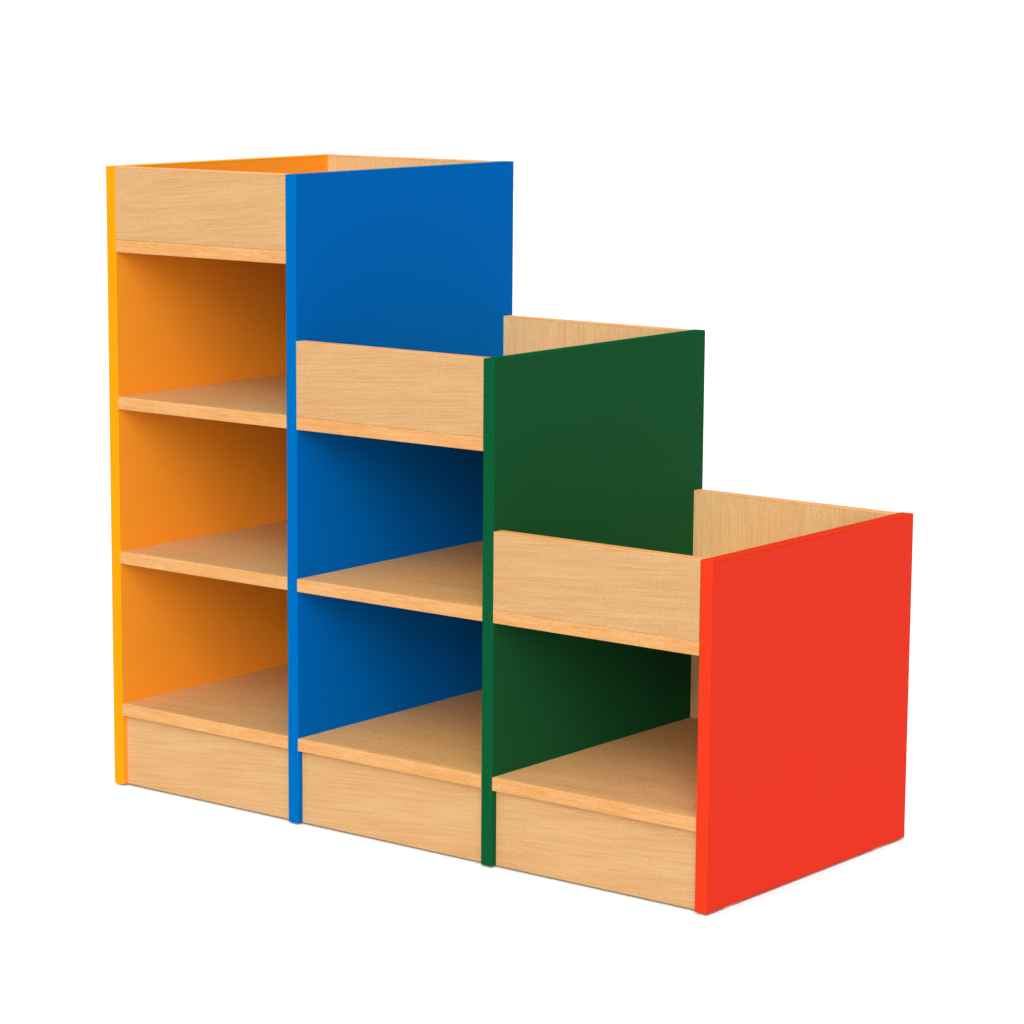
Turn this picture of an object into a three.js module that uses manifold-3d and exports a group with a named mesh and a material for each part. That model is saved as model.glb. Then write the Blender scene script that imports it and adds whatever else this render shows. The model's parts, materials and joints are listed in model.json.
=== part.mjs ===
// A staircase bookshelf for a nursery or classroom: three open bays that step down to the right, each with
// a fronted book tray on top, held between four coloured uprights.
// Millimetres, +Z up. The open fronts face -Y and the stairs descend towards +X. The origin is on the floor,
// at the middle of the footprint.
import * as THREE from "three";
import { mergeVertices } from "three/addons/utils/BufferGeometryUtils.js";
import Module from "manifold-3d";

// Case
const boardThickness = 18;
const bayClearWidth = 323;
const caseDepth = 480;
const plinthHeight = 103; // from the uprights' bottom edge to the underside of the base shelf
const shelfPitch = 224.5; // from one shelf level to the next, which is also the drop of one stair
const trayDepth = 103; // from the top of a tray's floor to its rim
const plinthSetback = 9; // from the front of the case to the face of the plinth
const backSetback = 4; // from the back of the case to the outer face of a back panel

// Edging strips, glued on every edge that shows
const edgingThickness = 2;
const edgingRadius = 0.8;
const edgingRadiusLimitShare = 0.9; // of the strip's thickness
const arcDivisions = 2; // each gives a quarter round two facets

// Glides under the uprights
const glideHeight = 2.5; // what a glide holds the case off the floor by
const glideLength = 28;
const glideWidth = 16;
const glideFrontInset = 56; // from the front of the case to the middle of the front glide
const glideBackInset = 65; // from the back of the case to the middle of the back glide
const glidePinDiameter = 6;
const glidePinLength = 12;

// Dowels, glued into the boards' ends and seated in blind holes in the uprights
const dowelDiameter = 8;
const dowelSeatShare = 2 / 3; // how deep a dowel sits in an upright, of the upright's thickness
const dowelGrip = 18; // how far it reaches into its own board
const shelfDowelInset = 60; // from a shelf's front or back edge to its outer dowels
const shelfDowelCount = 3;
const narrowBoardInsetShare = 0.27; // the same on a fascia or a plinth, of its height
const narrowBoardDowelCount = 2;
const rodSides = 10; // facets round a dowel, a pin or a hole

// Clearances
const jointGap = 0.2; // between two boards that meet
const glueGap = 0.1; // between an edging strip or a glide and what it is fixed to
const boreClearance = 0.3; // round a dowel or a pin, and past its end

// Bays from left to right, each with its shelves from the floor up
const bays = [
  { name: "tall", shelves: ["base", "lower", "upper", "tray"] },
  { name: "middle", shelves: ["base", "centre", "tray"] },
  { name: "low", shelves: ["base", "tray"] },
];

// Uprights from left to right
const uprights = [
  { name: "amber", panel: "amber_end_panel" },
  { name: "blue", panel: "blue_divider_panel" },
  { name: "green", panel: "green_divider_panel" },
  { name: "red", panel: "red_end_panel" },
];

// The five directions that boards, strips and rods follow
const toRight = new THREE.Vector3(1, 0, 0);
const toLeft = new THREE.Vector3(-1, 0, 0);
const toFront = new THREE.Vector3(0, -1, 0);
const toBack = new THREE.Vector3(0, 1, 0);
const upward = new THREE.Vector3(0, 0, 1);

function finish(color, roughness) {
  return new THREE.MeshStandardMaterial({ color, roughness, metalness: 0 });
}

const looks = {
  amber: { face: finish("#fd9b20", 0.45), edge: finish("#f7a104", 0.36) },
  blue: { face: finish("#0064b9", 0.45), edge: finish("#006cbb", 0.36) },
  green: { face: finish("#0b4c26", 0.45), edge: finish("#02552e", 0.36) },
  red: { face: finish("#f4371f", 0.45), edge: finish("#ea3b19", 0.36) },
  beech: { face: finish("#dcad75", 0.46), edge: finish("#e8ac6a", 0.36) },
  nylon: finish("#cdcfd1", 0.45),
};

// Places that follow from the sizes
const casePitch = boardThickness + bayClearWidth;
const caseWidth = boardThickness + bays.length * casePitch;
const frontY = -caseDepth / 2;
const backY = caseDepth / 2;
const boardLength = bayClearWidth - 2 * jointGap;
const edgingBuild = edgingThickness + glueGap; // what an edged board is cut back by
const dowelSeat = dowelSeatShare * boardThickness;
// A board's left and right dowels differ by this, so the holes from both sides of a divider miss each other.
const dowelStagger = 2 * dowelDiameter;
const shelfFrontY = frontY + edgingBuild;
const backPanelY = backY - backSetback - boardThickness; // the backs' inner faces
const backMiddleY = backPanelY + boardThickness / 2;
const shelfBackY = backPanelY - jointGap;

// Underside of the shelf at a level, counted from 0 at the base.
const shelfUnderZ = (level) => glideHeight + plinthHeight + level * shelfPitch;
const shelfTopZ = (level) => shelfUnderZ(level) + boardThickness;
const trayLevel = (bay) => bay.shelves.length - 1;
const rimZ = (bay) => shelfTopZ(trayLevel(bay)) + trayDepth;
// An upright is as tall as the bay on its left, and the first one as the bay on its right.
const upperBay = (index) => bays[Math.max(index - 1, 0)];

const wasm = await Module();
wasm.setup();

// A closed geometry as a solid that can be joined and cut.
function solidOf(geometry) {
  const bare = geometry.index ? geometry.toNonIndexed() : geometry.clone();
  bare.deleteAttribute("normal");
  bare.deleteAttribute("uv");
  const merged = mergeVertices(bare);
  const vertProperties = merged.attributes.position.array;
  const triVerts = new Uint32Array(merged.index.array);
  return new wasm.Manifold(new wasm.Mesh({ numProp: 3, vertProperties, triVerts }));
}

// A solid as a geometry with flat faces.
function geometryOf(solid) {
  const mesh = solid.getMesh();
  const shared = new THREE.BufferGeometry();
  shared.setAttribute("position", new THREE.BufferAttribute(mesh.vertProperties, 3));
  shared.setIndex(new THREE.BufferAttribute(mesh.triVerts, 1));
  const geometry = shared.toNonIndexed();
  geometry.computeVertexNormals();
  return geometry;
}

// A box with its lowest corner at its own origin.
function boxSolid(size) {
  const geometry = new THREE.BoxGeometry(size.x, size.y, size.z);
  geometry.translate(size.x / 2, size.y / 2, size.z / 2);
  return solidOf(geometry);
}

// A rod along X or Z that starts at a point, for a dowel, a pin or the hole that takes one. A cylinder
// geometry stands along Y before it is turned.
function rodSolid(diameter, length, start, axis) {
  const geometry = new THREE.CylinderGeometry(diameter / 2, diameter / 2, length, rodSides);
  geometry.translate(0, length / 2, 0);
  geometry.applyQuaternion(new THREE.Quaternion().setFromUnitVectors(toBack, axis));
  geometry.translate(start.x, start.y, start.z);
  return solidOf(geometry);
}

// count places evenly spread from inset inside low to inset inside high.
function spread(low, high, inset, count) {
  const step = (high - low - 2 * inset) / (count - 1);
  return Array.from({ length: count }, (_, i) => low + inset + i * step);
}

// Dowel centres, as { y, z } in the row frame. end is -1 for a board's left end and 1 for its right end.
function shelfDowels(level, end) {
  const z = shelfUnderZ(level) + boardThickness / 2;
  const places = spread(shelfFrontY, shelfBackY, shelfDowelInset, shelfDowelCount);
  return places.map((y) => ({ y: y + (end * dowelStagger) / 2, z }));
}

function narrowBoardDowels(faceY, lowZ, highZ, end) {
  const y = faceY + boardThickness / 2;
  const inset = narrowBoardInsetShare * (highZ - lowZ);
  const places = spread(lowZ, highZ, inset, narrowBoardDowelCount);
  return places.map((z) => ({ y, z: z + (end * dowelStagger) / 2 }));
}

const fasciaDowels = (bay, end) => narrowBoardDowels(frontY, rimZ(bay) - trayDepth, rimZ(bay), end);
const plinthDowels = (end) =>
  narrowBoardDowels(frontY + plinthSetback, glideHeight, shelfUnderZ(0), end);

// One behind the plinth, one behind each compartment and one behind the tray.
function backDowels(bay, end) {
  const behindPlinth = glideHeight + plinthHeight / 2;
  const behindCompartments = bay.shelves.slice(1).map((_, level) => shelfUnderZ(level) + shelfPitch / 2);
  const behindTray = rimZ(bay) - trayDepth / 2;
  const places = [behindPlinth, ...behindCompartments, behindTray];
  return places.map((z) => ({ y: backMiddleY, z: z + (end * dowelStagger) / 2 }));
}

// Every dowel centre in one end of one bay.
function bayDowels(bay, end) {
  const shelves = bay.shelves.flatMap((_, level) => shelfDowels(level, end));
  return [...shelves, ...fasciaDowels(bay, end), ...plinthDowels(end), ...backDowels(bay, end)];
}

// A board between two uprights, with the dowels that are glued into its ends. corner is its lowest corner in
// its bay, whose X runs from the left upright's inner face.
function dowelledBoard(name, material, corner, size, dowels) {
  const reach = dowelSeat + jointGap;
  const length = reach + dowelGrip;
  const rods = [-1, 1].flatMap((end) =>
    dowels(end).map(({ y, z }) => {
      const x = end < 0 ? -reach : size.x - dowelGrip;
      const start = new THREE.Vector3(x, y - corner.y, z - corner.z);
      return rodSolid(dowelDiameter, length, start, toRight);
    }),
  );
  const solid = rods.reduce((board, rod) => board.add(rod), boxSolid(size));
  return piece(name, solid, material, corner);
}

function piece(name, solid, material, position) {
  const mesh = new THREE.Mesh(geometryOf(solid), material);
  mesh.name = name;
  mesh.position.copy(position);
  return mesh;
}

// A rectangle that stands on the X axis, with its two upper corners rounded.
function easedOutline(width, height, radius) {
  const shape = new THREE.Shape();
  shape.moveTo(-width / 2, 0);
  shape.lineTo(width / 2, 0);
  shape.lineTo(width / 2, height - radius);
  shape.absarc(width / 2 - radius, height - radius, radius, 0, Math.PI / 2);
  shape.lineTo(radius - width / 2, height);
  shape.absarc(radius - width / 2, height - radius, radius, Math.PI / 2, Math.PI);
  shape.closePath();
  return shape;
}

function extruded(shape, depth) {
  return new THREE.ExtrudeGeometry(shape, { depth, bevelEnabled: false, curveSegments: arcDivisions });
}

// An edging strip: X across the board's thickness, Y out of its edge, Z along it from 0 to length. Its long
// outer corners are eased, and with easedEnd so are the corners round its far end.
function edgingSolid(length, easedEnd) {
  const radius = Math.min(edgingRadius, edgingRadiusLimitShare * edgingThickness);
  const section = easedOutline(boardThickness, edgingThickness, radius);
  const strip = solidOf(extruded(section, length));
  if (!easedEnd) {
    return strip;
  }
  const face = extruded(easedOutline(boardThickness, length, radius), 2 * edgingThickness);
  face.rotateX(Math.PI / 2);
  face.translate(0, 1.5 * edgingThickness, 0);
  const side = extruded(easedOutline(2 * edgingThickness, length, radius), 2 * boardThickness);
  side.rotateX(Math.PI / 2);
  side.rotateZ(Math.PI / 2);
  side.translate(-boardThickness, 0, 0);
  return strip.intersect(solidOf(face)).intersect(solidOf(side));
}

// Turns a strip so that its own X and Y lie along across and outward.
function edging(name, material, length, start, across, outward, easedEnd = false) {
  const strip = piece(name, edgingSolid(length, easedEnd), material, start);
  const along = across.clone().cross(outward);
  strip.setRotationFromMatrix(new THREE.Matrix4().makeBasis(across, outward, along));
  return strip;
}

// A glide: a pad with round ends under the upright, and the pin that holds it in the bottom edge. Its origin
// is on the floor, under its middle.
function glideSolid() {
  const straight = (glideLength - glideWidth) / 2;
  const outline = new THREE.Shape();
  outline.moveTo(glideWidth / 2, -straight);
  outline.absarc(0, straight, glideWidth / 2, 0, Math.PI);
  outline.absarc(0, -straight, glideWidth / 2, Math.PI, 2 * Math.PI);
  const pad = solidOf(extruded(outline, glideHeight - glueGap));
  const pinStart = new THREE.Vector3(0, 0, glideHeight / 2);
  return pad.add(rodSolid(glidePinDiameter, glideHeight / 2 + glidePinLength, pinStart, upward));
}

const glides = [
  { name: "front", y: frontY + glideFrontInset },
  { name: "back", y: backY - glideBackInset },
];

// An upright, edged on its front, top and back, with the holes for its neighbours' dowels and for its glides.
function upright({ name, panel }, index) {
  const group = new THREE.Group();
  group.position.x = index * casePitch - caseWidth / 2;
  const top = rimZ(upperBay(index));
  const corner = new THREE.Vector3(0, frontY + edgingBuild, glideHeight);
  const size = new THREE.Vector3(
    boardThickness,
    caseDepth - 2 * edgingBuild,
    top - edgingBuild - glideHeight,
  );
  const solid = uprightHoles(index, corner).reduce((board, hole) => board.subtract(hole), boxSolid(size));
  group.add(piece(panel, solid, looks[name].face, corner));

  const { edge } = looks[name];
  const middleX = boardThickness / 2;
  const height = top - glideHeight;
  const frontStart = new THREE.Vector3(middleX, frontY + edgingThickness, glideHeight);
  const backStart = new THREE.Vector3(middleX, backY - edgingThickness, glideHeight);
  const topStart = new THREE.Vector3(middleX, backY - edgingBuild, top - edgingThickness);
  group.add(edging(`${name}_front_edging`, edge, height, frontStart, toLeft, toFront, true));
  group.add(edging(`${name}_back_edging`, edge, height, backStart, toRight, toBack, true));
  group.add(edging(`${name}_top_edging`, edge, size.y, topStart, toRight, upward));

  for (const glide of glides) {
    const place = new THREE.Vector3(middleX, glide.y, 0);
    group.add(piece(`${name}_${glide.name}_glide`, glideSolid(), looks.nylon, place));
  }
  return group;
}

// The blind holes in an upright, in the upright's own frame.
function uprightHoles(index, corner) {
  const boreDiameter = dowelDiameter + 2 * boreClearance;
  const depthOfBore = dowelSeat + boreClearance;
  const length = depthOfBore + boardThickness;
  const bore = (x) => ({ y, z }) =>
    rodSolid(boreDiameter, length, new THREE.Vector3(x, y - corner.y, z - corner.z), toRight);
  const fromLeft = index > 0 ? bayDowels(bays[index - 1], 1) : [];
  const fromRight = index < bays.length ? bayDowels(bays[index], -1) : [];
  const pinHoles = glides.map(({ y }) => {
    const start = new THREE.Vector3(boardThickness / 2, y - corner.y, -boardThickness);
    const reach = boardThickness + glidePinLength + boreClearance;
    return rodSolid(glidePinDiameter + 2 * boreClearance, reach, start, upward);
  });
  return [
    ...fromLeft.map(bore(depthOfBore - length)),
    ...fromRight.map(bore(boardThickness - depthOfBore)),
    ...pinHoles,
  ];
}

// A shelf and the strip along its front edge.
function shelf(bay, level) {
  const name = `${bay.name}_${bay.shelves[level]}_shelf`;
  const corner = new THREE.Vector3(jointGap, shelfFrontY, shelfUnderZ(level));
  const size = new THREE.Vector3(boardLength, shelfBackY - shelfFrontY, boardThickness);
  const dowels = (end) => shelfDowels(level, end);
  const start = new THREE.Vector3(jointGap, frontY + edgingThickness, corner.z + boardThickness / 2);
  return [
    dowelledBoard(name, looks.beech.face, corner, size, dowels),
    edging(`${name}_edging`, looks.beech.edge, boardLength, start, upward, toFront),
  ];
}

// A board that stands on edge across a bay, with a strip along its top. faceY is its front face.
function crossBoard(name, faceY, lowZ, highZ, dowels) {
  const corner = new THREE.Vector3(jointGap, faceY, lowZ);
  const size = new THREE.Vector3(boardLength, boardThickness, highZ - edgingBuild - lowZ);
  const start = new THREE.Vector3(jointGap, faceY + boardThickness / 2, highZ - edgingThickness);
  return [
    dowelledBoard(name, looks.beech.face, corner, size, dowels),
    edging(`${name}_edging`, looks.beech.edge, boardLength, start, toBack, upward),
  ];
}

function plinth(bay) {
  const corner = new THREE.Vector3(jointGap, frontY + plinthSetback, glideHeight);
  const size = new THREE.Vector3(boardLength, boardThickness, plinthHeight - jointGap);
  return dowelledBoard(`${bay.name}_plinth`, looks.beech.face, corner, size, plinthDowels);
}

// Everything between two uprights.
function bayGroup(bay, index) {
  const group = new THREE.Group();
  group.position.x = index * casePitch + boardThickness - caseWidth / 2;
  const rim = rimZ(bay);
  const fasciaLow = rim - trayDepth + jointGap;
  bay.shelves.forEach((_, level) => group.add(...shelf(bay, level)));
  group.add(
    ...crossBoard(`${bay.name}_tray_fascia`, frontY, fasciaLow, rim, (end) => fasciaDowels(bay, end)),
    ...crossBoard(`${bay.name}_back_panel`, backPanelY, glideHeight, rim, (end) =>
      backDowels(bay, end),
    ),
    plinth(bay),
  );
  return group;
}

const bookshelf = new THREE.Group();
bookshelf.name = "staircase_bookshelf";
uprights.forEach((entry, index) => bookshelf.add(upright(entry, index)));
bays.forEach((bay, index) => bookshelf.add(bayGroup(bay, index)));

export default bookshelf;
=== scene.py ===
# A staircase bookshelf: four coloured uprights with beech boards between them, dressed for a studio picture.
# Metres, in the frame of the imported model: +Z is up, the open fronts face -Y, the stairs descend towards +X.
import json
import math

import bpy
import numpy as np
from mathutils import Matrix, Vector


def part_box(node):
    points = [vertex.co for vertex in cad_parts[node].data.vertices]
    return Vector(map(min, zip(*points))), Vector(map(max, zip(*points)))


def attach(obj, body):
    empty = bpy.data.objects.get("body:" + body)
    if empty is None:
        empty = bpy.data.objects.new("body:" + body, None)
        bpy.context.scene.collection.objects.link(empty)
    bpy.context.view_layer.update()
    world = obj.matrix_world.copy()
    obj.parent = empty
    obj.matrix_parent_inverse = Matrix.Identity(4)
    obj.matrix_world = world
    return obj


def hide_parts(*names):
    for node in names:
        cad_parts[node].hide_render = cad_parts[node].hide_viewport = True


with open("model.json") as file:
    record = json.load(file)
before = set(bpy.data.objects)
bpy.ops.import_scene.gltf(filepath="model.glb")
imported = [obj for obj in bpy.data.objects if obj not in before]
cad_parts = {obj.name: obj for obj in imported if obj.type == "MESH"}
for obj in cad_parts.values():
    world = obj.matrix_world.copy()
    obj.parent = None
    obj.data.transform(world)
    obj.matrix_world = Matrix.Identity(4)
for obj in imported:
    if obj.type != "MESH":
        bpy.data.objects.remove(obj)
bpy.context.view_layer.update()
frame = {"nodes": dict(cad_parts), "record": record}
nodes = frame["nodes"]
slotOf = {part["node"]: part["material_slot"] for part in frame["record"]["subparts"]}
millimetre = 0.001
print("frame loaded with", len(nodes), "nodes")


# A colour as it looks on a screen, as the light values a shader wants: each channel over 255, to the power
# 2.4 after adding 0.055 and dividing by 1.055, or over 12.92 where it is very dark.
def colour(code):
    shares = [int(code[i : i + 2], 16) / 255 for i in (1, 3, 5)]
    light = [s / 12.92 if s <= 0.04045 else ((s + 0.055) / 1.055) ** 2.4 for s in shares]
    return (*light, 1.0)


# A value on its way through a material. Arithmetic on it adds Math nodes, and node() adds any other node.
class Wire:
    def __init__(self, tree, socket=None):
        self.tree = tree
        self.socket = socket

    # a node of this kind: its settings first, then a value or a wire for each input
    def node(self, kind, settings=None, inputs=None, output=0):
        made = self.tree.nodes.new("ShaderNode" + kind)
        for name, value in (settings or {}).items():
            setattr(made, name, value)
        for name, value in (inputs or {}).items():
            if isinstance(value, Wire):
                self.tree.links.new(value.socket, made.inputs[name])
            else:
                made.inputs[name].default_value = value
        return Wire(self.tree, made.outputs[output] if len(made.outputs) else None)

    def maths(self, operation, *values):
        return self.node("Math", {"operation": operation}, dict(enumerate(values)))

    def __add__(self, other):
        return self.maths("ADD", self, other)

    def __sub__(self, other):
        return self.maths("SUBTRACT", self, other)

    def __rsub__(self, other):
        return self.maths("SUBTRACT", other, self)

    def __mul__(self, other):
        return self.maths("MULTIPLY", self, other)

    def __abs__(self):
        return self.maths("ABSOLUTE", self)

    __radd__ = __add__
    __rmul__ = __mul__

    # the other outputs of the node that this wire leaves
    def sibling(self, output):
        return Wire(self.tree, self.socket.node.outputs[output])

    def split(self):
        parts = self.node("SeparateXYZ", {}, {0: self})
        return [parts.sibling(axis) for axis in "XYZ"]

    def joined(self, x, y, z):
        return self.node("CombineXYZ", {}, {0: x, 1: y, 2: z})

    # noise around 0.5 whose blotches have these sizes along X, Y and Z
    def noise(self, sizes, detail):
        scale = tuple(1 / size for size in sizes)
        place = self.node("VectorMath", {"operation": "MULTIPLY"}, {0: self, 1: scale})
        return self.node("TexNoise", {}, {"Vector": place, "Scale": 1.0, "Detail": detail}, "Fac")

    # what wavers around 0.5, as a swing around 0 of this strength
    def swing(self, strength):
        return (self - 0.5) * strength

    # 0 below low, 1 above high, with a soft step between
    def rise(self, low, high):
        settings = {"interpolation_type": "SMOOTHSTEP"}
        return self.node("MapRange", settings, {"Value": self, "From Min": low, "From Max": high})

    # the first colour where this is 0, the second where it is 1
    def blend(self, first, second):
        return self.node("Mix", {"data_type": "RGBA"}, {0: self, 6: first, 7: second}, 2)


# A material from a recipe: a function of a loose wire that returns the surface shader.
def material(name, recipe):
    made = bpy.data.materials.new(name)
    made.use_nodes = True
    made.node_tree.nodes.clear()
    start = Wire(made.node_tree)
    start.node("OutputMaterial", {}, {"Surface": recipe(start)})
    return made


# The surface of a look in this colour: its roughness swings with one pattern, and another is its relief.
def surface(start, look, base, uneven, height):
    inputs = {
        "Base Color": base,
        "Roughness": look["roughness"] + uneven.swing(look["roughnessSwing"]),
        "Specular IOR Level": look["gloss"],
        "Normal": start.node("Bump", {}, {"Strength": 1.0, "Distance": look["relief"], "Height": height}),
    }
    return start.node("BsdfPrincipled", {}, inputs)


# Object coordinates as (along the grain, across it on the board's face, through the board).
def grainPlace(start, grain, thickness):
    wires = dict(zip("XYZ", start.node("TexCoord", output="Object").split()))
    across = next(axis for axis in "XYZ" if axis not in (grain, thickness))
    return wires[grain], wires[across], wires[thickness]


beechFace = {
    "pale": colour("#dcb583"),
    "deep": colour("#d19e67"),
    "fleck": colour("#bd844c"),
    "lean": -0.085,  # how much the lines sink along the grain
    "drift": 16 * millimetre,  # how far they wander
    "bends": (350 * millimetre, 80 * millimetre),  # how long and how wide a bend of the lines is
    "bands": (300 * millimetre, 22 * millimetre, 0.48),  # long, wide, and how strong
    "lines": (120 * millimetre, 3 * millimetre, 0.85),
    "ripples": (70 * millimetre, 1.6 * millimetre, 1.05),
    "flecks": (4.5 * millimetre, 0.7 * millimetre),
    "fleckLevels": (0.52, 0.7),  # the noise where a fleck starts, and where it is full
    "fleckTint": 0.55,  # how much of its own colour a full fleck has
    "fleckDepth": 0.8,  # how far it sinks, with the ripples' height as 1
    "relief": 0.03 * millimetre,
    "roughness": 0.46,
    "roughnessSwing": 0.08,
    "gloss": 0.05,
}

# The back panels' print is a little paler than the fascias', and its lines neither sink nor wander as much.
beechBack = {
    **beechFace,
    "pale": colour("#e2c490"),
    "deep": colour("#d8ac76"),
    "fleck": colour("#c39159"),
    "lean": 0.0,
    "drift": 6 * millimetre,
}
# Painted light: the plinths' print is a little paler than the fascias' to stand in for light the low plinths
# miss under the bottom shelf.
beechPlinthPaintedLight = {
    **beechFace,
    "pale": colour("#dfb885"),
    "deep": colour("#d4a069"),
    "fleck": colour("#c0864d"),
}
# Painted light: the shelves' prints are lighter than the fascias' for the light falling on their tops, and
# lighter still in the middle and low bays for light those bays' shelves get too little of.
beechShelvesPaintedLight = {
    "tall": {**beechFace, "pale": colour("#e6c088"), "deep": colour("#dba76b")},
    "middle": {**beechFace, "pale": colour("#fac984"), "deep": colour("#eeaf68")},
    "low": {**beechFace, "pale": colour("#fbce91"), "deep": colour("#efb373")},
}

beechEdge = {
    **beechFace,
    "pale": colour("#ebb67b"),
    "deep": colour("#df9d5c"),
    "fleck": colour("#cc8440"),
    "lean": 0.0,
    "drift": 2 * millimetre,
    "bands": (100 * millimetre, 9 * millimetre, 0.85),
    "lines": (45 * millimetre, 2.6 * millimetre, 0.9),
    "ripples": (16 * millimetre, 1.5 * millimetre, 0.9),
    "roughness": 0.36,
    "gloss": 0.015,
}

chipboard = {
    "pale": colour("#c9a878"),
    "dark": colour("#8d6a43"),
    "chip": 2.2 * millimetre,
    "coverTurn": (0.2, 0.4),  # how squarely a spot faces out where the cover starts, and where it is whole
}


# Printed beech: the grain is noise drawn out along the grain at three widths, on lines that lean and wander,
# and short dark flecks lie over it. It gives the colour, the height of the relief and the grain's tone.
def beechPrint(look, start, grain, thickness):
    # noise as long and as wide as the look says
    def drawn(place, key):
        length, width = look[key][:2]
        return place.noise((length, width, width), detail=1)

    along, across, through = grainPlace(start, grain, thickness)
    bends = drawn(start.joined(along, across, through), "bends")
    shift = along * look["lean"] + bends.swing(look["drift"])
    place = start.joined(along, across + shift, through)
    patterns = {key: drawn(place, key) for key in ("bands", "lines", "ripples")}
    tone = 0.5
    for key, pattern in patterns.items():
        tone = tone + pattern.swing(look[key][2])
    flecks = drawn(place, "flecks").rise(*look["fleckLevels"])
    wood = tone.rise(0, 1).blend(look["deep"], look["pale"])
    printed = (flecks * look["fleckTint"]).blend(wood, look["fleck"])
    return printed, patterns["ripples"] - flecks * look["fleckDepth"], tone


# Raw chipboard: pressed chips, each with its own tone.
def chipboardCore(start):
    place = start.node("TexCoord", output="Object")
    inputs = {"Vector": place, "Scale": 1 / chipboard["chip"]}
    chips = start.node("TexVoronoi", {"distance": "MANHATTAN"}, inputs, "Color")
    tone = chips.node("SeparateColor", {}, {0: chips})
    return tone.blend(chipboard["dark"], chipboard["pale"])


# 1 where a surface faces along the board's thickness, 0 on its cut edges.
def faceMask(start, thickness):
    turned = start.node("TexCoord", output="Normal").split()["XYZ".index(thickness)]
    return abs(turned).rise(*chipboard["coverTurn"])


def beechBoard(look, grain, thickness):
    def recipe(start):
        wood, height, tone = beechPrint(look, start, grain, thickness)
        base = faceMask(start, thickness).blend(chipboardCore(start), wood)
        return surface(start, look, base, tone, height)

    return recipe


def beechStrip(start):
    wood, height, tone = beechPrint(beechEdge, start, "X", "Y")
    return surface(start, beechEdge, wood, tone, height)


paints = {
    "amber": {"face": "#ff9d2d", "edge": "#f79f10"},
    "blue": {"face": "#0067be", "edge": "#006bb8"},
    "green": {"face": "#19542e", "edge": "#0d5933"},
    "red": {"face": "#f43c27", "edge": "#e73c20"},
}

melamine = {
    "cloud": 90 * millimetre,  # the size of the soft mottle
    "pearl": 0.7 * millimetre,  # the size of the pressed texture
    "mottle": 0.03,  # how much each makes the colour vary
    "relief": 0.008 * millimetre,
    "roughness": 0.45,
    "roughnessSwing": 0.1,
    "gloss": 0.01,
}

colouredPlastic = {
    "streaks": (0.5 * millimetre, 120 * millimetre),  # wide and long
    "mottle": 0.05,
    "relief": 0.01 * millimetre,
    "roughness": 0.36,
    "roughnessSwing": 0.12,
    "gloss": 0.0,
}

whiteNylon = {
    "pale": colour("#d6d8da"),
    "dull": colour("#c4c6c9"),
    "grit": 0.4 * millimetre,
    "relief": 0.02 * millimetre,
    "roughness": 0.45,
    "roughnessSwing": 0.1,
    "gloss": 0.4,
}


# A colour made lighter or darker by a share around 1.
def shaded(start, base, share):
    return start.node("VectorMath", {"operation": "SCALE"}, {0: base, "Scale": share})


def colouredBoard(code):
    def recipe(start):
        place = start.node("TexCoord", output="Object")
        cloud = place.noise((melamine["cloud"],) * 3, detail=3)
        pearl = place.noise((melamine["pearl"],) * 3, detail=2)
        share = 1 + cloud.swing(melamine["mottle"]) + pearl.swing(melamine["mottle"])
        paint = shaded(start, colour(code)[:3], share)
        base = faceMask(start, "X").blend(chipboardCore(start), paint)
        return surface(start, melamine, base, cloud, pearl)

    return recipe


def colouredStrip(code):
    def recipe(start):
        width, length = colouredPlastic["streaks"]
        place = start.node("UVMap", {"uv_map": "strip"})
        streaks = place.noise((width, length, length), detail=3)
        paint = shaded(start, colour(code)[:3], 1 + streaks.swing(colouredPlastic["mottle"]))
        return surface(start, colouredPlastic, paint, streaks, streaks)

    return recipe


def nylon(start):
    place = start.node("TexCoord", output="Object")
    grit = place.noise((whiteNylon["grit"],) * 3, detail=3)
    base = grit.blend(whiteNylon["dull"], whiteNylon["pale"])
    return surface(start, whiteNylon, base, grit, grit)


finishes = {
    "beechFrontBoard": material("beechFrontBoard", beechBoard(beechFace, "X", "Y")),
    "beechBackBoard": material("beechBackBoard", beechBoard(beechBack, "Z", "Y")),
    "beechPlinthPaintedLightBoard": material("beechPlinthPaintedLightBoard", beechBoard(beechPlinthPaintedLight, "X", "Y")),
    "beech_edging": material("beechEdging", beechStrip),
    "glide_nylon": material("glideNylon", nylon),
}
# One copy of the shelves' beech per bay, each lightened by painted light.
for bay, look in beechShelvesPaintedLight.items():
    finishes[bay + "Shelf"] = material(bay + "Shelf", beechBoard(look, "X", "Z"))
for name, codes in paints.items():
    finishes[name + "_laminate"] = material(name + "Laminate", colouredBoard(codes["face"]))
    finishes[name + "_edging"] = material(name + "Edging", colouredStrip(codes["edge"]))
print("finishes made:", len(finishes))


board = {
    "weld": 0.01 * millimetre,  # corners closer than this become one
    "arris": 0.2 * millimetre,  # the broken edge of a cut board
    "arrisSteps": 2,
    "sharpAngle": 40,  # degrees from which an edge is a sharp one
}


# The finish of a board: by its slot, and for beech by which board it is.
def boardFinish(name):
    if slotOf[name] != "beech_laminate":
        return finishes[slotOf[name]]
    if name.endswith("_shelf"):
        return finishes[name.split("_")[0] + "Shelf"]
    if name.endswith("_plinth"):
        return finishes["beechPlinthPaintedLightBoard"]
    return finishes["beechBackBoard" if name.endswith("_back_panel") else "beechFrontBoard"]


def dressBoard(name):
    piece = nodes[name]
    piece.data.materials[0] = boardFinish(name)
    weld = piece.modifiers.new("weld", "WELD")
    weld.merge_threshold = board["weld"]
    arris = piece.modifiers.new("arris", "BEVEL")
    arris.width = board["arris"]
    arris.segments = board["arrisSteps"]
    arris.limit_method = "ANGLE"
    arris.angle_limit = math.radians(board["sharpAngle"])
    arris.harden_normals = True


for name in nodes:
    if slotOf[name].endswith("_laminate"):
        dressBoard(name)
print("boards dressed")


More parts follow.
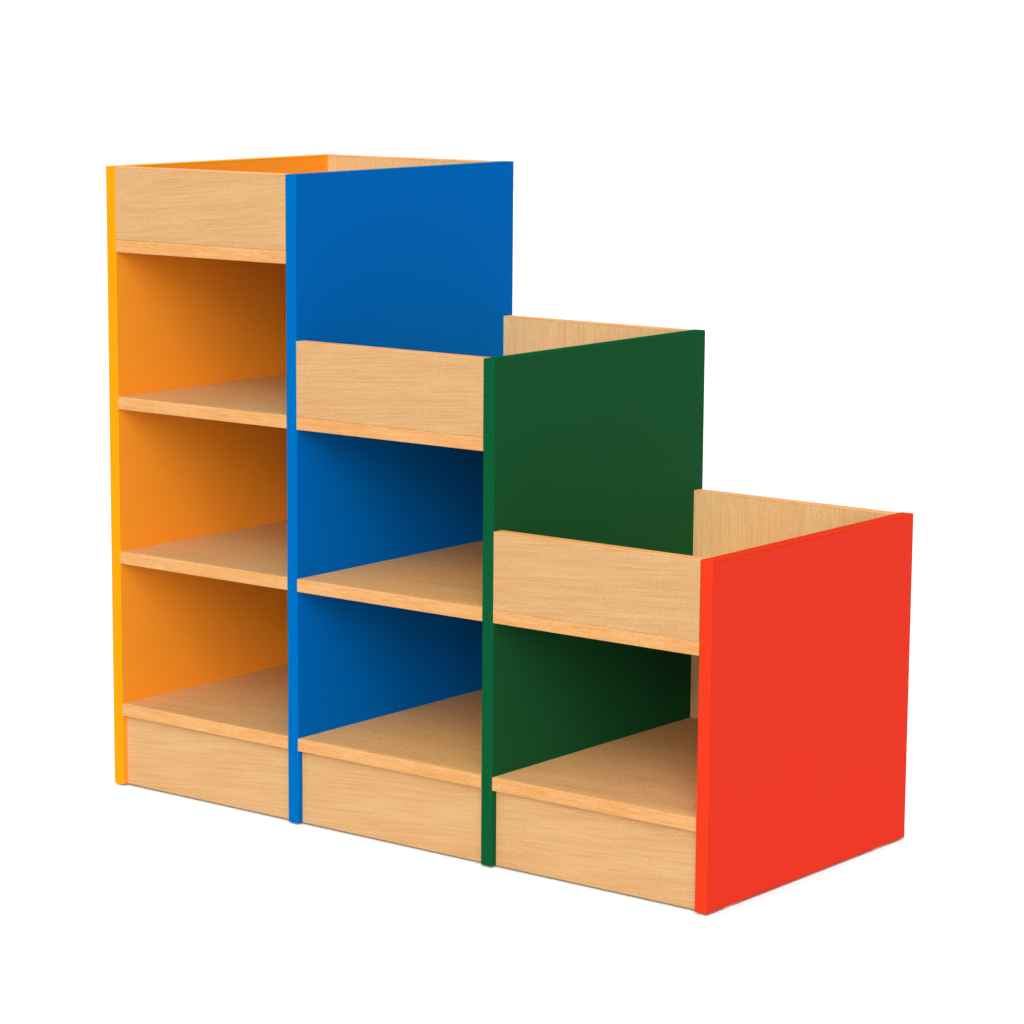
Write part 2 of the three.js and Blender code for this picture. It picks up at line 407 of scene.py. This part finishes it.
# A closed tube from an array of rings, shaped (rings, points, 3). Each point is joined to the next one
# round its ring and to the same one on the next ring, and the two ends are closed with flat faces. around
# holds the distance round a ring up to each point and back to the first, and along that of each ring.
def tube(name, rings, around, along):
    ringCount, pointCount = rings.shape[:2]
    i, j = np.meshgrid(np.arange(ringCount - 1), np.arange(pointCount), indexing="ij")
    cornerRing = np.stack([i, i, i + 1, i + 1], -1).reshape(-1, 4)
    cornerPoint = np.stack([j, j + 1, j + 1, j], -1).reshape(-1, 4)
    sides = cornerRing * pointCount + cornerPoint % pointCount
    first = np.arange(pointCount)[::-1]
    last = np.arange(pointCount) + (ringCount - 1) * pointCount
    mesh = bpy.data.meshes.new(name)
    mesh.from_pydata(rings.reshape(-1, 3).tolist(), [], [*sides.tolist(), first.tolist(), last.tolist()])
    sideMap = np.stack([around[cornerPoint], along[cornerRing]], -1).reshape(-1, 2)
    capMap = np.stack([around[:-1], np.full(pointCount, along[0])], -1)
    layer = mesh.uv_layers.new(name="strip")
    layer.data.foreach_set("uv", np.concatenate([sideMap, capMap[::-1], capMap]).astype(np.float32).ravel())
    mesh.shade_smooth()
    mesh.set_sharp_from_angle(angle=math.radians(board["sharpAngle"]))
    made = bpy.data.objects.new(name, mesh)
    bpy.context.scene.collection.objects.link(made)
    return made


strip = {
    "radius": 0.8 * millimetre,  # of the milled corners
    "crown": 0.05 * millimetre,  # how much lower the face is at its sides than in the middle
    "arcSteps": 6,  # round a corner
    "faceSteps": 6,  # across the face
    "easeSteps": 6,  # over an eased end
    "ringPitch": 60 * millimetre,
}

# For each kind of strip: the axis it runs along, the axis it faces and which way, and whether its far end
# is eased.
stripKinds = {
    "_front_edging": (2, 1, -1, True),
    "_back_edging": (2, 1, 1, True),
    "_top_edging": (1, 2, 1, False),
    "_shelf_edging": (0, 1, -1, False),
    "_fascia_edging": (0, 2, 1, False),
    "_back_panel_edging": (0, 2, 1, False),
}


# The outline of a strip's section, as (across, out): half of it goes straight up the side, round a quarter
# circle whose angle goes from 0 to 90 degrees, and over a face that drops by the crown times the square of
# its distance from the middle as a share of the flat. The other half is its mirror image.
def stripSection(halfWidth, thickness):
    radius = strip["radius"]
    flat = halfWidth - radius
    low = thickness - strip["crown"] - radius
    turn = np.linspace(0, math.pi / 2, strip["arcSteps"] + 1)
    arc = np.stack([flat + radius * np.cos(turn), low + radius * np.sin(turn)], -1)
    reach = np.linspace(1, 0, strip["faceSteps"] // 2 + 1)[1:]
    face = np.stack([flat * reach, thickness - strip["crown"] * reach**2], -1)
    half = np.concatenate([[[halfWidth, 0.0]], arc, face])
    return np.concatenate([half, half[-2::-1] * [-1, 1]])


# Where the rings of a strip lie, and how far its outline is drawn in there. The evenly spaced rings aren't
# drawn in. Over an eased end an angle goes from 0 to 90 degrees: a ring lies the radius times its sine past
# where the end starts, and it is drawn in by the radius times 1 less its cosine.
def stripRings(length, eased):
    steps = max(2, round(length / strip["ringPitch"]))
    if not eased:
        return np.linspace(0, length, steps + 1), np.zeros(steps + 1)
    radius = strip["radius"]
    turn = np.linspace(0, math.pi / 2, strip["easeSteps"] + 1)[1:]
    plain = np.linspace(0, length - radius, steps + 1)
    places = np.concatenate([plain, length - radius + radius * np.sin(turn)])
    drawn = np.concatenate([np.zeros(steps + 1), radius - radius * np.cos(turn)])
    return places, drawn


# A strip in the box of its CAD node: a point is the middle of the glued side, plus the section's across and
# out, each times 1 less what its ring is drawn in by as a share, plus the ring's place along the strip.
def edgingStrip(name):
    runs, faces, sign, eased = next(kind for ending, kind in stripKinds.items() if name.endswith(ending))
    low, high = (np.array(corner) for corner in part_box(name))
    crosses = 3 - runs - faces
    halfWidth = (high[crosses] - low[crosses]) / 2
    thickness = high[faces] - low[faces]
    outward = np.eye(3)[faces] * sign
    along = np.eye(3)[runs]
    across = np.cross(outward, along)
    glued = (low + high) / 2 - outward * thickness / 2
    glued[runs] = low[runs]
    section = stripSection(halfWidth, thickness)
    places, drawn = stripRings(high[runs] - low[runs], eased)
    acrossShare = 1 - drawn / halfWidth
    outShare = 1 - drawn / thickness
    rings = (
        glued
        + np.einsum("r,p,k->rpk", acrossShare, section[:, 0], across)
        + np.einsum("r,p,k->rpk", outShare, section[:, 1], outward)
        + places[:, None, None] * along
    )
    loop = np.concatenate([section, section[:1]])
    around = np.concatenate([[0], np.cumsum(np.hypot(*np.diff(loop, axis=0).T))])
    made = tube(name.replace("_edging", "_strip"), rings, around, places)
    made.data.materials.append(finishes[slotOf[name]])
    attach(made, "root")
    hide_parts(name)


edgings = [name for name in nodes if name.endswith("_edging")]
for name in edgings:
    edgingStrip(name)
print("edging strips made:", len(edgings))


glide = {
    "padHeight": 2.4 * millimetre,
    "pinRadius": 3 * millimetre,
    "tipShare": 0.7,  # the radius of the pin's tip, of the pin's
    "taperShare": 0.3,  # the height of the tip's slope, of the pin's radius
    "rim": 0.7 * millimetre,  # how far the pad's rounded edges stand out
    "gateRadius": 1.6 * millimetre,  # of the moulding mark under the pad
    "gateDepth": 0.3 * millimetre,
    "gateFlareShare": 1.15,  # the radius of the mark's mouth, of its floor's
    "arcSteps": 5,  # over half of the rim
    "roundSteps": 48,
}


# The profile of a glide from the top of its pin to the middle of its underside, as (radius, height,
# stretch): down the pin, out over the pad, round its rim, whose half ellipse follows an angle from 90 to -90
# degrees, and in to a shallow moulding mark. Stretch is 1 where the pad's round ends are pulled apart.
def glideProfile(padRadius, top):
    pin, rim, pad = glide["pinRadius"], glide["rim"], glide["padHeight"]
    turn = np.linspace(math.pi / 2, -math.pi / 2, 2 * glide["arcSteps"] + 1)
    bulge = np.stack([padRadius - rim + rim * np.cos(turn), pad / 2 + (pad / 2) * np.sin(turn)], -1)
    tip = [(pin * glide["tipShare"], top, 0), (pin, top - pin * glide["taperShare"], 0)]
    padRings = [(r, z, 1) for r, z in bulge]
    mark = glide["gateRadius"]
    gate = [(mark * glide["gateFlareShare"], 0, 0), (mark, glide["gateDepth"], 0)]
    return np.array([*tip, (pin, pad, 0), *padRings, *gate])


# A glide in the box of its CAD node: each ring is a circle, its radius times the cosine of an angle along X
# and times the sine along Y, whose front and back halves are pulled apart along Y by the stretch.
def glidePiece(name):
    low, high = (np.array(corner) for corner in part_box(name))
    middle = (low + high) / 2
    padRadius = (high[0] - low[0]) / 2
    pull = (high[1] - low[1]) / 2 - padRadius
    radius, height, stretch = glideProfile(padRadius, high[2]).T
    turn = (np.arange(glide["roundSteps"]) + 0.5) * 2 * math.pi / glide["roundSteps"]
    x = middle[0] + radius[:, None] * np.cos(turn)
    y = middle[1] + radius[:, None] * np.sin(turn) + pull * stretch[:, None] * np.sign(np.sin(turn))
    z = np.broadcast_to(height[:, None], x.shape)
    rings = np.stack([x, y, z], -1)[:, ::-1]
    around = np.linspace(0, 1, glide["roundSteps"] + 1)
    made = tube(name.replace("_glide", "_foot"), rings, around, np.linspace(0, 1, len(rings)))
    made.data.materials.append(finishes[slotOf[name]])
    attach(made, "root")
    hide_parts(name)


glides = [name for name in nodes if name.endswith("_glide")]
for name in glides:
    glidePiece(name)
print("glides made:", len(glides))


studio = {
    "floorHalf": 12.0,  # metres from its middle to its edges
    "floorTone": 0.57,  # what the floor gives back to the bookshelf
    "floorGlow": 0.03,  # what the camera sees of it without any light
    "floorShade": 1.03,  # how much the light on it adds, which the bookshelf's shadow takes away
    "sky": 0.08,  # how bright the world is to the bookshelf
    "lampHeight": 4.0,  # where a far lamp is drawn; only its direction matters
}

# Far lamps by where they stand: degrees from straight in front towards the right end, degrees above the
# floor, how many degrees wide they look, and how bright each makes a white card that faces it.
lamps = {
    "keyLamp": {"turn": 30, "rise": 9, "wide": 30, "level": 0.35},
    "highLamp": {"turn": 30, "rise": 31, "wide": 30, "level": 0.475},
    "sideLamp": {"turn": 55, "rise": 9, "wide": 30, "level": 0.11},
    "highSideLamp": {"turn": 45, "rise": 50, "wide": 35, "level": 0.18},
    "frontLamp": {"turn": 0, "rise": 60, "wide": 35, "level": 0.12},
    "leftLamp": {"turn": -90, "rise": 15, "wide": 20, "level": 0.5},
    "backLamp": {"turn": 180, "rise": 15, "wide": 20, "level": 0.5},
    "topLamp": {"turn": 0, "rise": 89, "wide": 6, "level": 0.3},
}


# 1 for the rays that show the background: the camera's, and those of reflections and clear things.
def seenDirectly(start):
    path = start.node("LightPath", output="Is Camera Ray")
    seen = path.maths("MAXIMUM", path, path.sibling("Is Glossy Ray"))
    return seen.maths("MAXIMUM", seen, path.sibling("Is Transmission Ray"))


# White where it is seen directly, less the bookshelf's shadow, and plain grey to the light.
def floorRecipe(start):
    grey = start.node("BsdfDiffuse", {}, {"Color": (*[studio["floorTone"]] * 3, 1)})
    lit = start.node("BsdfDiffuse", {}, {"Color": (*[studio["floorShade"]] * 3, 1)})
    glow = start.node("Emission", {}, {"Color": (1, 1, 1, 1), "Strength": studio["floorGlow"]})
    shown = start.node("AddShader", {}, {0: lit, 1: glow})
    return start.node("MixShader", {}, {0: seenDirectly(start), 1: grey, 2: shown})


def studioFloor():
    half = studio["floorHalf"]
    mesh = bpy.data.meshes.new("floor")
    corners = [(-half, -half, 0), (half, -half, 0), (half, half, 0), (-half, half, 0)]
    mesh.from_pydata(corners, [], [(0, 1, 2, 3)])
    made = bpy.data.objects.new("floor", mesh)
    bpy.context.scene.collection.objects.link(made)
    made.data.materials.append(material("floorPaint", floorRecipe))


def studioWorld():
    world = bpy.data.worlds.new("studio")
    world.use_nodes = True
    world.node_tree.nodes.clear()
    start = Wire(world.node_tree)
    strength = seenDirectly(start) * (1 - studio["sky"]) + studio["sky"]
    sky = start.node("Background", {}, {"Color": (1, 1, 1, 1), "Strength": strength})
    start.node("OutputWorld", {}, {"Surface": sky})
    bpy.context.scene.world = world


# A far lamp's strength is the level of the white card times pi.
def studioLamp(name, lamp):
    turn, rise = math.radians(lamp["turn"]), math.radians(lamp["rise"])
    way = Vector((math.sin(turn) * math.cos(rise), -math.cos(turn) * math.cos(rise), math.sin(rise)))
    data = bpy.data.lights.new(name, "SUN")
    data.angle = math.radians(lamp["wide"])
    data.energy = lamp["level"] * math.pi
    made = bpy.data.objects.new(name, data)
    made.location = way * studio["lampHeight"]
    made.rotation_euler = way.to_track_quat("Z", "Y").to_euler()
    bpy.context.scene.collection.objects.link(made)


view = {
    "place": (2.6176, -3.3674, 1.1203),  # metres
    "pitch": 9.454,  # degrees below the horizon
    "turn": 40.05,  # degrees from straight on towards the right end
    "sensor": 36.0,
    "lens": 108.97,
    "shift": (0.1280, 0.0122),  # the photograph is framed off the lens's axis
}


def studioCamera():
    data = bpy.data.cameras.new("camera")
    data.sensor_width = view["sensor"]
    data.lens = view["lens"]
    data.shift_x, data.shift_y = view["shift"]
    made = bpy.data.objects.new("camera", data)
    made.location = view["place"]
    made.rotation_euler = (math.radians(90 - view["pitch"]), 0, math.radians(view["turn"]))
    bpy.context.scene.collection.objects.link(made)
    bpy.context.scene.camera = made


bpy.context.scene.view_settings.view_transform = "Standard"
studioFloor()
studioWorld()
for name, lamp in lamps.items():
    studioLamp(name, lamp)
studioCamera()
print("studio ready")
